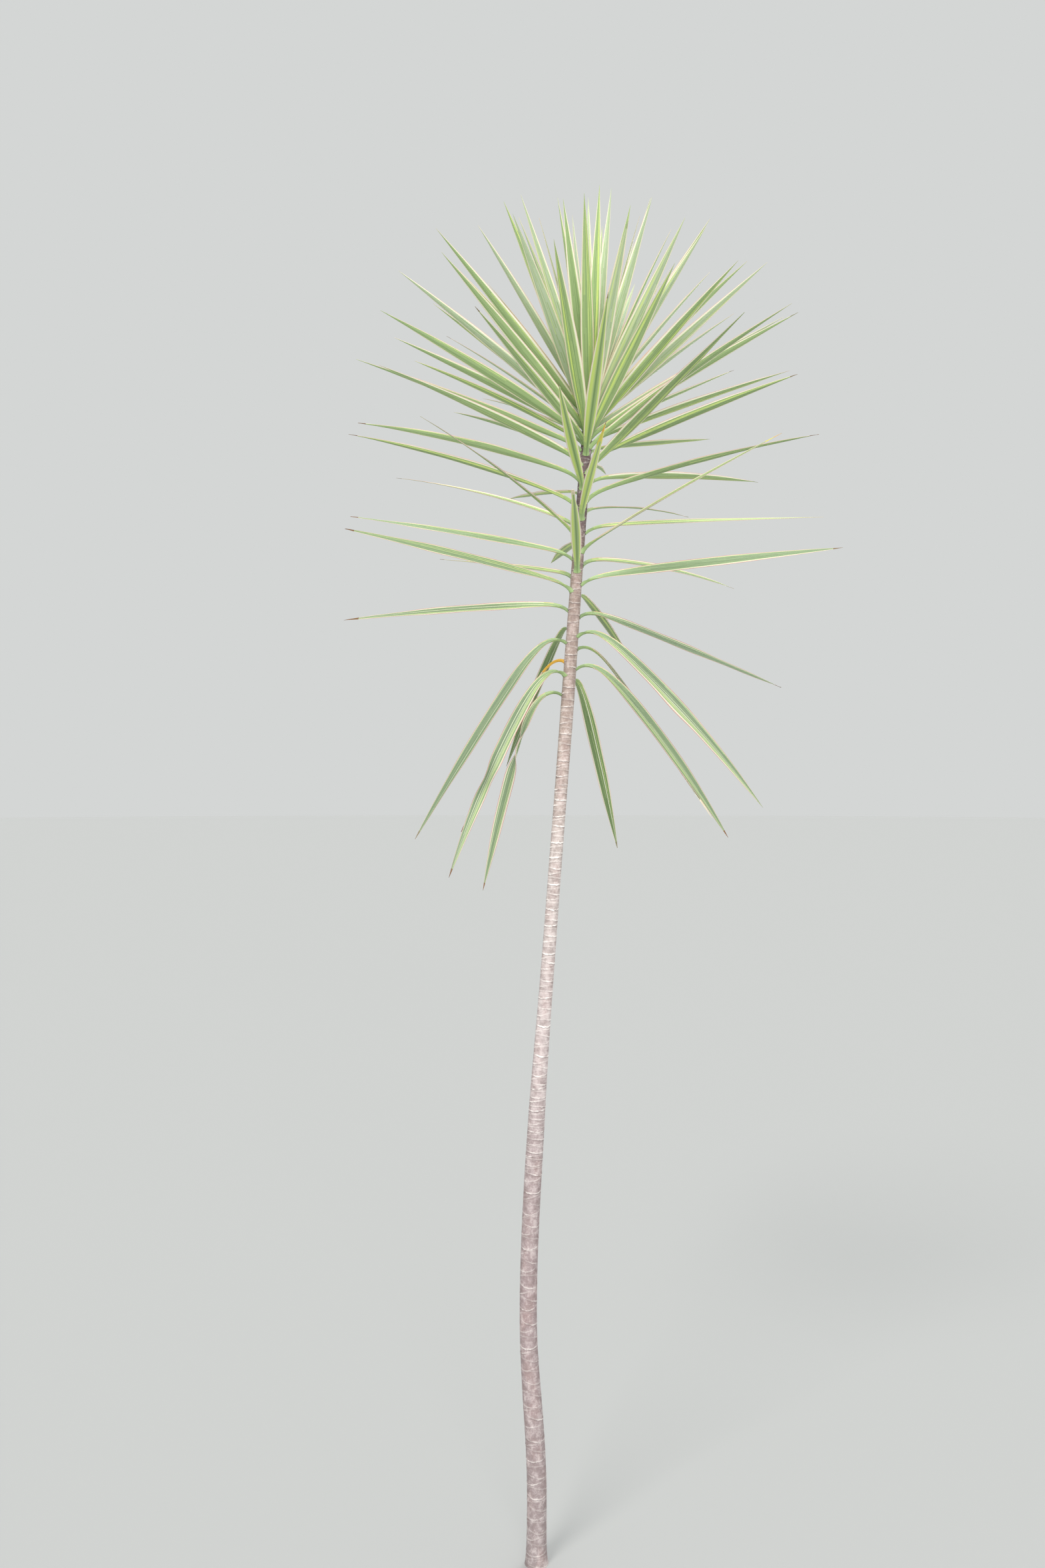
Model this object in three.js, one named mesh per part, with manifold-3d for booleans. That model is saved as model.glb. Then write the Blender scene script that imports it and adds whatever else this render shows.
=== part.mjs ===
// A red-edged dracaena: one tall ringed cane that leans a little, with a crown of long narrow leaves.
// Millimetres, Z up. The origin is the middle of the cane's flat foot, on level ground.
// The plant is seen from -Y, so +X is to the right and an azimuth of -90 degrees faces the viewer.

import * as THREE from 'three';
import { mergeVertices } from 'three/addons/utils/BufferGeometryUtils.js';
import Module from 'manifold-3d';

// The cane. Each pair is a height and the size there.
const caneTop = 2262;
const caneSide = [[0, 0], [180, 0], [470, -16], [850, 0], [1220, 27], [1660, 60], [2262, 104]];
const caneDepth = [[0, 0], [600, 9], [1300, -6], [1900, 4], [2262, 0]];
const caneRadius = [
  [0, 18.7], [300, 17.9], [420, 16.6], [780, 16.5], [1080, 12.9],
  [1440, 12.1], [1660, 12.5], [1880, 11], [2150, 10], [2262, 7.5],
];
const flareWidth = 4;
const flareHeight = 20;
const flareRings = [0, 8, 20, 40];
const caneSides = 16;
const caneRingStep = 60;
const caneDome = 6;

// The spiral of leaves, counted from the lowest and oldest. Some low ones have already dropped.
const leafCount = 110;
const lowestLeaf = 1656;
const goldenAngle = 137.508;
const frontLeaf = 20;
const frontAzimuth = -97;
const droppedLeaves = [0, 2, 7, 12, 15];
const oldInternode = 12.5;
const youngInternode = 2;
const shorteningFrom = 26;
const shorteningTo = 50;

// A leaf's age runs from 1 for the lowest to 0 for this number and all above it.
const ageZeroFrom = 87;

// The kinds of leaf, by the number of the first of each kind.
const firstSpreading = 14;
const firstRising = 31;
const firstWhorl = 45;
const firstHeart = 89;
const whorlSize = 4;

// The blades, by leaf number. A rise is the angle of the straight part above level, in degrees.
const bladeRise = [
  [0, -76], [5, -58], [10, -44], [15, -12], [20, 6], [33, 12],
  [41, 19], [53, 27], [68, 39], [84, 54], [99, 71], [110, 85],
];
const bladeLength = [[0, 450], [10, 472], [22, 455], [40, 430], [68, 415], [87, 362], [110, 322]];
const bladeWidth = [[0, 25], [22, 23], [68, 25], [95, 22], [110, 17]];

// How far a leaf rolls, in degrees, by its number. The old leaves turn their upper faces to the open
// side in front, and the higher ones turn theirs a little to the bright sky behind.
const rollToLight = [[0, 60], [13, 54], [21, 44], [26, 36], [32, -18], [40, -24], [74, -24], [110, 0]];

// How far a leaf may stray from the rule, from a young leaf to an old one.
const riseScatter = [1.5, 10];
const turnScatter = [0, 4];
const sagRange = [1.5, 4];
const sagScatter = 0.9;
const swayScatter = [1, 6];
const twistScatter = [3, 24];
const sizeScatter = 0.06;

// Single leaves that weight, wind or wear has turned or lifted, in degrees, or that grew to another size.
const turnedBy = { 3: -17, 4: -8, 8: -25, 10: 10, 20: 4, 28: -10, 33: 9, 41: 1 };
const liftedBy = { 1: -4, 3: 8, 10: -3, 14: 20, 20: 3 };
const longerBy = { 3: 0.92, 4: 1.08, 20: 0.8, 28: 0.9, 33: 0.91 };
const widerBy = { 20: 0.82, 28: 0.84, 33: 0.84 };

// How a blade leaves its base, from a hanging leaf to a steep one.
const startRise = [22, 46];
const bendLength = [32, 7];

// The shape of a blade, as shares of its length and as sizes.
const neckWidth = 15;
const neckEnd = 0.03;
const widestAt = 0.38;
const taperPower = 1.6;
const bladeThickness = 4.8;
const tipThickness = 1;
const tipWidth = 1.2;
const channelDepth = 4.5;
const channelAtTip = 0.6;
const bladeStations = [0.02, 0.05, 0.1, 0.18, 0.36, 0.58, 0.8, 1];
const spineStep = 5;

// Where a leaf clasps the cane.
const claspHeight = 7;
const claspShare = 1.2;
const claspWall = 2;
const claspAngle = 65;
const claspShoulder = 1.5;
const claspReach = 4.5;
const seatGap = 0.35;

// The ring of joined bases that holds a whorl.
const whorlWall = 3;
const whorlClasp = 4.4;
const whorlMargin = 0.8;
const whorlGap = 0.4;

// The rolled spear of leaves that haven't opened yet.
const spearLength = 250;
const spearShoulder = 24;
const spearShoulderShare = 0.6;
const spearTipRadius = 0.8;

const degree = Math.PI / 180;
const { lerp, smoothstep, clamp } = THREE.MathUtils;

function within(range, share) {
  return lerp(range[0], range[1], share);
}

// A smooth line through the pairs of a table.
function follow(table, at) {
  const last = table.length - 1;
  let left = 0;
  while (left < last - 1 && at > table[left + 1][0]) left += 1;
  const slope = (place) => {
    const before = table[Math.max(place - 1, 0)];
    const after = table[Math.min(place + 1, last)];
    return (after[1] - before[1]) / (after[0] - before[0]);
  };
  const [startAt, startValue] = table[left];
  const [endAt, endValue] = table[left + 1];
  const span = endAt - startAt;
  const t = clamp((at - startAt) / span, 0, 1);
  const eased = lerp(startValue, endValue, t * t * (3 - 2 * t));
  const leaving = t * (1 - t) * (1 - t) * span * slope(left);
  const arriving = t * t * (t - 1) * span * slope(left + 1);
  return eased + leaving + arriving;
}

// A repeatable scatter between -1 and 1 for one trait of one leaf, from the fraction of a large sine.
const traits = { rise: 1, turn: 2, sag: 3, sway: 4, twist: 5, length: 6, width: 7 };
const leafStride = 12.9898;
const traitStride = 78.233;
const sineScale = 43758.5453;

function scatter(leaf, trait) {
  const wave = Math.sin((leaf + 1) * leafStride + traits[trait] * traitStride) * sineScale;
  return 2 * (wave - Math.floor(wave)) - 1;
}

// A size from a table of leaf numbers, strayed a little for one leaf.
function strayed(table, leaf, trait) {
  return follow(table, leaf) * (1 + sizeScatter * scatter(leaf, trait));
}

function axisPoint(height) {
  return new THREE.Vector3(follow(caneSide, height), follow(caneDepth, height), height);
}

// The cane's radius at a height, with the flare at its foot.
function radiusAt(height) {
  return follow(caneRadius, height) + flareWidth * Math.exp(-height / flareHeight);
}

function internodeAbove(leaf) {
  return lerp(oldInternode, youngInternode, smoothstep(leaf, shorteningFrom, shorteningTo));
}

// Everything that sets one leaf apart from the next.
function planLeaf(index, height) {
  const age = Math.max(1 - index / ageZeroFrom, 0);
  const loose = smoothstep(age, 0.15, 0.75);
  const known = index in turnedBy;
  const turn = known ? turnedBy[index] : scatter(index, 'turn') * within(turnScatter, loose);
  const azimuth = frontAzimuth + goldenAngle * (index - frontLeaf) + turn;
  const strayRise = known ? 0 : scatter(index, 'rise') * within(riseScatter, loose);
  const rise = follow(bladeRise, index) + strayRise + (liftedBy[index] ?? 0);
  const steep = clamp(rise / 150 + 0.5, 0, 1);
  return {
    index,
    height,
    azimuth,
    rise,
    claspHeight: Math.min(claspHeight, internodeAbove(index) * claspShare),
    startRise: within(startRise, steep),
    bendLength: within(bendLength, steep),
    sag: within(sagRange, loose) * (1 + sagScatter * scatter(index, 'sag')),
    sway: within(swayScatter, loose) * scatter(index, 'sway'),
    twist: within(twistScatter, loose) * scatter(index, 'twist'),
    faceTurn: follow(rollToLight, index) * Math.cos((azimuth - turn) * degree),
    length: strayed(bladeLength, index, 'length') * (longerBy[index] ?? 1),
    width: strayed(bladeWidth, index, 'width') * (widerBy[index] ?? 1),
  };
}

function planLeaves() {
  const plans = [];
  let height = lowestLeaf;
  for (let index = 0; index < leafCount; index += 1) {
    plans.push(planLeaf(index, height));
    height += internodeAbove(index);
  }
  return plans;
}

// The blade's width along its length, from its neck to its tip.
function widthAt(plan, u) {
  if (u < widestAt) return lerp(neckWidth, plan.width, smoothstep(u, neckEnd, widestAt));
  const beyond = (u - widestAt) / (1 - widestAt);
  return Math.max(plan.width * (1 - beyond ** taperPower), tipWidth);
}

// Where the middle line of a blade is heading at a distance from its start, and how far it is rolled.
function headingAt(plan, distance) {
  const u = distance / plan.length;
  const straightness = 1 - Math.exp(-distance / plan.bendLength);
  const rise = (lerp(plan.startRise, plan.rise, straightness) - plan.sag * (2 * u - 1)) * degree;
  const azimuth = (plan.azimuth + plan.sway * u) * degree;
  return {
    along: new THREE.Vector3(
      Math.cos(rise) * Math.cos(azimuth),
      Math.cos(rise) * Math.sin(azimuth),
      Math.sin(rise),
    ),
    across: new THREE.Vector3(-Math.sin(azimuth), Math.cos(azimuth), 0),
    roll: (plan.twist * u + plan.faceTurn * straightness) * degree,
  };
}

// The two sections of a leaf's base, which reaches round the cane.
function claspSections(plan) {
  const radius = radiusAt(plan.height) + claspWall;
  const azimuth = plan.azimuth * degree;
  const out = new THREE.Vector3(Math.cos(azimuth), Math.sin(azimuth), 0);
  const section = (reach, half) => ({
    point: axisPoint(plan.height).addScaledVector(out, reach),
    side: new THREE.Vector3(-out.y, out.x, 0),
    up: new THREE.Vector3(0, 0, 1),
    half,
    middle: plan.claspHeight,
    edge: plan.claspHeight,
    channel: 0,
  });
  return [
    section(radius * Math.cos(claspAngle * degree), radius * Math.sin(claspAngle * degree)),
    section(radius + claspShoulder, neckWidth / 2 + 1),
  ];
}

// The sections of the blade itself, found by walking along its middle line.
function bladeSections(plan) {
  const azimuth = plan.azimuth * degree;
  const start = radiusAt(plan.height) + claspWall + claspReach;
  const point = axisPoint(plan.height);
  point.x += start * Math.cos(azimuth);
  point.y += start * Math.sin(azimuth);
  const sections = [];
  let distance = 0;
  for (const u of bladeStations) {
    const steps = Math.ceil((u * plan.length - distance) / spineStep);
    const step = (u * plan.length - distance) / steps;
    for (let i = 0; i < steps; i += 1) {
      point.addScaledVector(headingAt(plan, distance + step / 2).along, step);
      distance += step;
    }
    const { along, across, roll } = headingAt(plan, distance);
    across.applyAxisAngle(along, roll);
    sections.push({
      point: point.clone(),
      side: across,
      up: new THREE.Vector3().crossVectors(along, across),
      half: widthAt(plan, u) / 2,
      middle: lerp(bladeThickness, tipThickness, u ** 4),
      edge: 0,
      channel: lerp(channelDepth, channelAtTip, Math.sqrt(u)),
    });
  }
  return sections;
}

// A leaf is a box of two strips, bent through its sections, with its edges raised into a channel.
function leafGeometry(plan) {
  const sections = [...claspSections(plan), ...bladeSections(plan)];
  const steps = sections.length - 1;
  const geometry = new THREE.BoxGeometry(2, 2, steps, 2, 1, steps);
  const places = geometry.attributes.position;
  const vertex = new THREE.Vector3();
  for (let i = 0; i < places.count; i += 1) {
    vertex.fromBufferAttribute(places, i);
    const section = sections[Math.round(vertex.z + steps / 2)];
    const fromMiddle = Math.abs(vertex.x);
    const across = vertex.x * section.half;
    const thickness = lerp(section.middle, section.edge, fromMiddle);
    const lift = section.channel * fromMiddle + (vertex.y * thickness) / 2;
    vertex.copy(section.point).addScaledVector(section.side, across).addScaledVector(section.up, lift);
    places.setXYZ(i, vertex.x, vertex.y, vertex.z);
  }
  return geometry;
}

// A turned shape whose profile stands on the cane's own line.
function turnedGeometry(profile) {
  const geometry = new THREE.LatheGeometry(profile, caneSides);
  geometry.rotateX(Math.PI / 2);
  const places = geometry.attributes.position;
  for (let i = 0; i < places.count; i += 1) {
    const axis = axisPoint(places.getZ(i));
    places.setX(i, places.getX(i) + axis.x);
    places.setY(i, places.getY(i) + axis.y);
  }
  return geometry;
}

// The cane, or with a clearance the room that its leaves leave round it.
function caneGeometry(clearance) {
  const count = Math.round(caneTop / caneRingStep);
  const heights = [...flareRings];
  for (let ring = 1; ring <= count; ring += 1) heights.push((ring * caneTop) / count);
  const profile = [new THREE.Vector2(0, -clearance)];
  for (const height of heights) {
    let level = height;
    if (height === 0) level -= clearance;
    if (height === caneTop) level += clearance;
    profile.push(new THREE.Vector2(radiusAt(height) + clearance, level));
  }
  profile.push(new THREE.Vector2(0, caneTop + caneDome + clearance));
  return turnedGeometry(profile);
}

const wasm = await Module();
wasm.setup();

// A closed solid from a geometry, with its corners shared and the faces that fold flat dropped.
function toSolid(geometry) {
  const bare = geometry.clone();
  bare.deleteAttribute('normal');
  bare.deleteAttribute('uv');
  const merged = mergeVertices(bare, 1e-4);
  const corners = merged.index.array;
  const triangles = [];
  for (let i = 0; i < corners.length; i += 3) {
    const [a, b, c] = [corners[i], corners[i + 1], corners[i + 2]];
    if (a !== b && b !== c && c !== a) triangles.push(a, b, c);
  }
  return new wasm.Manifold(new wasm.Mesh({
    numProp: 3,
    vertProperties: new Float32Array(merged.attributes.position.array),
    triVerts: new Uint32Array(triangles),
  }));
}

function toGeometry(solid) {
  const mesh = solid.getMesh();
  const geometry = new THREE.BufferGeometry();
  geometry.setAttribute('position', new THREE.BufferAttribute(new Float32Array(mesh.vertProperties), 3));
  geometry.setIndex(new THREE.BufferAttribute(new Uint32Array(mesh.triVerts), 1));
  geometry.computeVertexNormals();
  return geometry;
}

function leafSolid(plan) {
  return toSolid(leafGeometry(plan));
}

// The ring of joined leaf bases round the cane. It reaches inward past the room that is cut from it.
function whorlRing(bottom, top) {
  const inner = radiusAt(bottom) / 2;
  const outer = radiusAt(bottom) + whorlWall;
  const profile = [
    new THREE.Vector2(inner, bottom),
    new THREE.Vector2(outer, bottom),
    new THREE.Vector2(outer, top),
    new THREE.Vector2(inner, top),
    new THREE.Vector2(inner, bottom),
  ];
  return toSolid(turnedGeometry(profile));
}

// The spear stands over the cane's tip and closes round it.
function spearSolid(bottom) {
  const outer = radiusAt(bottom) + whorlWall;
  const profile = [
    new THREE.Vector2(0, bottom),
    new THREE.Vector2(outer, bottom),
    new THREE.Vector2(outer, caneTop - caneDome),
    new THREE.Vector2(outer * spearShoulderShare, caneTop + spearShoulder),
    new THREE.Vector2(spearTipRadius, caneTop + spearLength),
    new THREE.Vector2(0, caneTop + spearLength),
  ];
  return toSolid(turnedGeometry(profile));
}

// The leaves of a whorl leave their ring a little closer together than their spiral says.
function gatherMembers(members, bottom, top) {
  const lowest = bottom + whorlMargin + whorlClasp / 2;
  const highest = top - whorlMargin - whorlClasp / 2;
  return members.map((plan, place) => ({
    ...plan,
    height: lerp(lowest, highest, place / (members.length - 1)),
    claspHeight: whorlClasp,
  }));
}

const caneRoom = toSolid(caneGeometry(seatGap));

// Joins the solids of one piece and cuts the cane's room from them.
function seatedOnCane(solids) {
  const whole = solids.reduce((sum, solid) => sum.add(solid));
  return toGeometry(whole.subtract(caneRoom));
}

const bark = { color: 0xb3a49f, roughness: 0.85 };
const hangingGreen = { color: 0x66784f, roughness: 0.5 };
const spreadingGreen = { color: 0x7d9160, roughness: 0.48 };
const risingGreen = { color: 0x8fa56b, roughness: 0.45 };
const youngGreen = { color: 0xa6b87c, roughness: 0.42 };

const plant = new THREE.Group();

function addPiece(name, geometry, finish) {
  const material = new THREE.MeshStandardMaterial({ ...finish, metalness: 0 });
  const mesh = new THREE.Mesh(geometry, material);
  mesh.name = name;
  plant.add(mesh);
}

function numbered(kind, number) {
  return `${kind}_${String(number).padStart(2, '0')}`;
}

function addSingleLeaves(plans, kind, finish) {
  plans.forEach((plan, place) => {
    addPiece(numbered(kind, place + 1), seatedOnCane([leafSolid(plan)]), finish);
  });
}

function addWhorls(plans) {
  for (let first = 0; first < plans.length; first += whorlSize) {
    const members = plans.slice(first, first + whorlSize);
    const last = members[members.length - 1];
    const bottom = members[0].height - youngInternode / 2;
    const top = last.height + internodeAbove(last.index) - youngInternode / 2 - whorlGap;
    const blades = gatherMembers(members, bottom, top).map(leafSolid);
    const whorl = seatedOnCane([whorlRing(bottom, top), ...blades]);
    addPiece(numbered('leaf_whorl', first / whorlSize + 1), whorl, risingGreen);
  }
}

function addHeart(plans) {
  const bottom = plans[0].height - youngInternode / 2;
  const blades = gatherMembers(plans, bottom, caneTop).map(leafSolid);
  addPiece('heart_leaves', seatedOnCane([spearSolid(bottom), ...blades]), youngGreen);
}

const leaves = planLeaves().filter((plan) => !droppedLeaves.includes(plan.index));
const from = (first, end) => leaves.filter((plan) => plan.index >= first && plan.index < end);

addPiece('cane', caneGeometry(0), bark);
addSingleLeaves(from(0, firstSpreading), 'hanging_leaf', hangingGreen);
addSingleLeaves(from(firstSpreading, firstRising), 'spreading_leaf', spreadingGreen);
addSingleLeaves(from(firstRising, firstWhorl), 'rising_leaf', risingGreen);
addWhorls(from(firstWhorl, firstHeart));
addHeart(from(firstHeart, leafCount));

export default plant;
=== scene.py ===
# %% [markdown]
# # A red-edged dracaena
# The plant is one tall ringed cane under a crown of long narrow leaves. Its solids are already
# packed at their real size, and this lesson dresses them: a cane with its leaf scars, and thin
# striped blades in place of the thick ones. Everything is worked out from a growth rule, because
# a plant like this really is one rule repeated: a leaf, a turn, a little more stem, a leaf.

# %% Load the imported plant
import math
from collections import namedtuple
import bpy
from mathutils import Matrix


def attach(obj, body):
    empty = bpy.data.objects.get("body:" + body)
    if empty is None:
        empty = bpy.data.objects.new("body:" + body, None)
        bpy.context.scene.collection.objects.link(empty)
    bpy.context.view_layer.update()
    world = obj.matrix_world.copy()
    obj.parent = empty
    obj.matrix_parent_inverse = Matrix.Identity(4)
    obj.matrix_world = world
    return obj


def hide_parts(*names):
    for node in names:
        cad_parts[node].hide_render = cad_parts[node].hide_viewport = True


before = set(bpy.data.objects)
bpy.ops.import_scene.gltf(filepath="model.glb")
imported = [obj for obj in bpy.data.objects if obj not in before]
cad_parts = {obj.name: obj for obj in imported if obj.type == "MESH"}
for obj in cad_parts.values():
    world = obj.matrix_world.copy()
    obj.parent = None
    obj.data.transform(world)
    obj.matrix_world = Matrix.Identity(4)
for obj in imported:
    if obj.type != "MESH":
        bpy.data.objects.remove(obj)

from types import SimpleNamespace

import bmesh
import bpy
import numpy as np
from mathutils import Quaternion, Vector

scene = bpy.context.scene
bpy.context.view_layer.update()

# %% [markdown]
# ## The view
# The photograph was taken level, at eye height, about two and a half metres away with a wide
# lens, so the foot of the cane sits at the bottom edge of the picture. A camera can be aimed by
# eye, but here its place comes from the same scale as the plant, and then nothing has to be
# nudged. The lens is given for a sensor 36 mm high.

# %% Camera
PHOTO_HEIGHT_PX = 2352
FOCAL_LENGTH_PX = 1957
SENSOR_HEIGHT_MM = 36
CAMERA_PLACE = (-0.0269, -2.505, 1.496)

camera = bpy.data.objects.new("camera", bpy.data.cameras.new("camera"))
scene.collection.objects.link(camera)
camera.data.sensor_fit = "VERTICAL"
camera.data.sensor_height = SENSOR_HEIGHT_MM
camera.data.lens = FOCAL_LENGTH_PX / PHOTO_HEIGHT_PX * SENSOR_HEIGHT_MM
camera.location = CAMERA_PLACE
camera.rotation_euler = (math.radians(90), 0, 0)
scene.camera = camera
print("lens:", round(camera.data.lens, 2), "mm")

# %% [markdown]
# ## Small helpers
# A growth rule needs values that change smoothly with height or with age. A short table of pairs
# and a smooth line through them says that more plainly than a formula would. The rule also needs
# scatter that comes out the same every time, so it takes it from the fraction of a large sine
# and not from a random number generator.

# %% Smooth tables and repeatable scatter
MM = 0.001
LEAF_STRIDE = 12.9898
TRAIT_STRIDE = 78.233
SINE_SCALE = 43758.5453


def clamp(value, low=0.0, high=1.0):
    return max(low, min(high, value))


def lerp(start, end, share):
    return start + (end - start) * share


def smoothstep(value, start, end):
    share = clamp((value - start) / (end - start))
    return share * share * (3 - 2 * share)


def follow(table, at):
    """A smooth line through the pairs of a table."""
    last = len(table) - 1
    left = 0
    while left < last - 1 and at > table[left + 1][0]:
        left += 1

    def slope(place):
        before = table[max(place - 1, 0)]
        after = table[min(place + 1, last)]
        return (after[1] - before[1]) / (after[0] - before[0])

    (start_at, start_value), (end_at, end_value) = table[left], table[left + 1]
    span = end_at - start_at
    t = clamp((at - start_at) / span)
    eased = lerp(start_value, end_value, t * t * (3 - 2 * t))
    leaving = t * (1 - t) * (1 - t) * span * slope(left)
    arriving = t * t * (t - 1) * span * slope(left + 1)
    return eased + leaving + arriving


TRAITS = ["rise", "turn", "sag", "sway", "twist", "length", "width"]
TRAITS += ["tone", "bright side", "left line", "right line", "left margin", "right margin", "streak"]
TRAITS += ["streak start", "dead tip", "ripple", "ripple place", "scar", "scar dip"]
TRAITS += ["wave 1", "wave 3", "wave 8", "wave 13", "left silver", "right silver"]


def scatter(leaf, trait):
    """A number between -1 and 1 that is always the same for one trait of one leaf."""
    wave = math.sin((leaf + 1) * LEAF_STRIDE + (TRAITS.index(trait) + 1) * TRAIT_STRIDE) * SINE_SCALE
    return 2 * (wave - math.floor(wave)) - 1


def chance(leaf, trait):
    """The same number, brought between 0 and 1."""
    return (scatter(leaf, trait) + 1) / 2


print("scatter of the first leaf:", round(scatter(0, "rise"), 4))

# %% [markdown]
# ## The cane's line
# The cane grew towards the light, so it leans and bends a little, and it gets thinner in steps
# where good and bad years followed each other. Two tables give the middle line and one gives the
# radius, in millimetres over the height. They are the same as in the solids.

# %% Cane line and radius
CANE_TOP = 2262
CANE_SIDE = [(0, 0), (180, 0), (470, -16), (850, 0), (1220, 27), (1660, 60), (2262, 104)]
CANE_DEPTH = [(0, 0), (600, 9), (1300, -6), (1900, 4), (2262, 0)]
CANE_RADIUS = [
    (0, 18.7), (300, 17.9), (420, 16.6), (780, 16.5), (1080, 12.9),
    (1440, 12.1), (1660, 12.5), (1880, 11), (2150, 10), (2262, 7.5),
]
FLARE_WIDTH = 4
FLARE_HEIGHT = 20


def axis_point(height):
    return Vector((follow(CANE_SIDE, height), follow(CANE_DEPTH, height), height))


def radius_at(height):
    return follow(CANE_RADIUS, height) + FLARE_WIDTH * math.exp(-height / FLARE_HEIGHT)


print("foot:", round(2 * radius_at(0), 1), "mm across, tip:", round(2 * radius_at(CANE_TOP), 1))

# %% [markdown]
# ## The spiral of leaves
# Each leaf stands 137.5 degrees round from the one before it. Old leaves are some 12 mm apart and
# hang, young ones crowd together at the top and stand up. A few low ones have dropped. The rule
# is the one that made the solids, so each fine leaf follows the middle of the thick one that it
# replaces.

# %% Leaf plans
LEAF_COUNT = 110
LOWEST_LEAF = 1656
GOLDEN_ANGLE = 137.508
FRONT_LEAF = 20
FRONT_AZIMUTH = -97
DROPPED_LEAVES = {0, 2, 7, 12, 15}
OLD_INTERNODE = 12.5
YOUNG_INTERNODE = 2
AGE_ZERO_FROM = 87
LOOSE_AGES = (0.15, 0.75)
STEEP_SPAN = 150
SHORTENING = (26, 50)
BLADE_RISE = [
    (0, -76), (5, -58), (10, -44), (15, -12), (20, 6), (33, 12),
    (41, 19), (53, 27), (68, 39), (84, 54), (99, 71), (110, 85),
]
BLADE_LENGTH = [(0, 450), (10, 472), (22, 455), (40, 430), (68, 415), (87, 362), (110, 322)]
BLADE_WIDTH = [(0, 25), (22, 23), (68, 25), (95, 22), (110, 17)]
RISE_SCATTER = (1.5, 10)
TURN_SCATTER = (0, 4)
SAG_RANGE = (1.5, 4)
SAG_SCATTER = 0.9
SWAY_SCATTER = (1, 6)
TWIST_SCATTER = (3, 24)
SIZE_SCATTER = 0.06
ROLL_TO_LIGHT = [(0, 60), (13, 54), (21, 44), (26, 36), (32, -18), (40, -24), (74, -24), (110, 0)]
TURNED_BY = {3: -17, 4: -8, 8: -25, 10: 10, 20: 4, 28: -10, 33: 9, 41: 1}
LIFTED_BY = {1: -4, 3: 8, 10: -3, 14: 20, 20: 3}
LONGER_BY = {3: 0.92, 4: 1.08, 20: 0.8, 28: 0.9, 33: 0.91}
WIDER_BY = {20: 0.82, 28: 0.84, 33: 0.84}
START_RISE = (22, 46)
BEND_LENGTH = (32, 7)


def internode_above(leaf):
    return lerp(OLD_INTERNODE, YOUNG_INTERNODE, smoothstep(leaf, *SHORTENING))


def strayed(table, leaf, trait):
    return follow(table, leaf) * (1 + SIZE_SCATTER * scatter(leaf, trait))


def plan_leaf(index, height):
    """Everything that sets one leaf apart from the next."""
    age = clamp(1 - index / AGE_ZERO_FROM)
    loose = smoothstep(age, *LOOSE_AGES)
    known = index in TURNED_BY
    turn = TURNED_BY[index] if known else scatter(index, "turn") * lerp(*TURN_SCATTER, loose)
    azimuth = FRONT_AZIMUTH + GOLDEN_ANGLE * (index - FRONT_LEAF) + turn
    stray_rise = 0 if known else scatter(index, "rise") * lerp(*RISE_SCATTER, loose)
    rise = follow(BLADE_RISE, index) + stray_rise + LIFTED_BY.get(index, 0)
    steep = clamp(rise / STEEP_SPAN + 0.5)
    return SimpleNamespace(
        index=index,
        height=height,
        age=age,
        azimuth=azimuth,
        rise=rise,
        start_rise=lerp(*START_RISE, steep),
        bend_length=lerp(*BEND_LENGTH, steep),
        sag=lerp(*SAG_RANGE, loose) * (1 + SAG_SCATTER * scatter(index, "sag")),
        sway=lerp(*SWAY_SCATTER, loose) * scatter(index, "sway"),
        twist=lerp(*TWIST_SCATTER, loose) * scatter(index, "twist"),
        face_turn=follow(ROLL_TO_LIGHT, index) * math.cos(math.radians(azimuth - turn)),
        length=strayed(BLADE_LENGTH, index, "length") * LONGER_BY.get(index, 1),
        width=strayed(BLADE_WIDTH, index, "width") * WIDER_BY.get(index, 1),
    )


plans = []
next_height = LOWEST_LEAF
for number in range(LEAF_COUNT):
    plans.append(plan_leaf(number, next_height))
    next_height += internode_above(number)
leaves = [plan for plan in plans if plan.index not in DROPPED_LEAVES]
print("leaves:", len(leaves), "highest at", round(leaves[-1].height), "mm")

# %% [markdown]
# ## Where old leaves left their scars
# Every leaf clasped the cane with a base that was lowest in front and swept up round the sides,
# so each scar is a shallow smile. The scars follow the same spiral downwards, a little further
# apart and deeper on the old wood, and where two of them tilt towards each other they meet in a
# lens or a short V. A pattern repeated by a texture would never run into itself like that, so the
# lines are worked out one by one.

# %% The scar lines
SCAR_SPACING = [
    (0, 13), (690, 14), (765, 8.5), (900, 8.5), (960, 12),
    (1100, 10.5), (1500, 9.5), (1640, 11), (1656, 12.5),
]
SPACING_SPREAD = 0.16
TURN_SPREAD = 14
SCAR_DIP = [(0, 11), (690, 11), (780, 5), (900, 5), (960, 7), (1100, 5), (1300, 4), (1900, 4)]
DIP_SPREAD = (0.7, 1.25)
SCAR_WAVES = [(1, 0.7), (3, 0.4), (8, 0.35), (13, 0.25)]
WAVE_SHIFT = 40
SCAR_FADE = (35, 120)
SCAR_LEAST = 0.15
FAINTEST_SCAR = 0.4


def scar_marks():
    """The number, height and azimuth of every leaf base, from the foot to the tip."""
    marks = [(plan.index, plan.height, plan.azimuth) for plan in plans]
    index = -1
    height = LOWEST_LEAF - follow(SCAR_SPACING, LOWEST_LEAF)
    while height > -follow(SCAR_DIP, 0):
        azimuth = FRONT_AZIMUTH + GOLDEN_ANGLE * (index - FRONT_LEAF)
        marks.append((index, height, azimuth + TURN_SPREAD * scatter(index, "turn")))
        height -= follow(SCAR_SPACING, height) * (1 + SPACING_SPREAD * scatter(index, "sag"))
        index -= 1
    return sorted(marks, key=lambda mark: mark[1])


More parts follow.
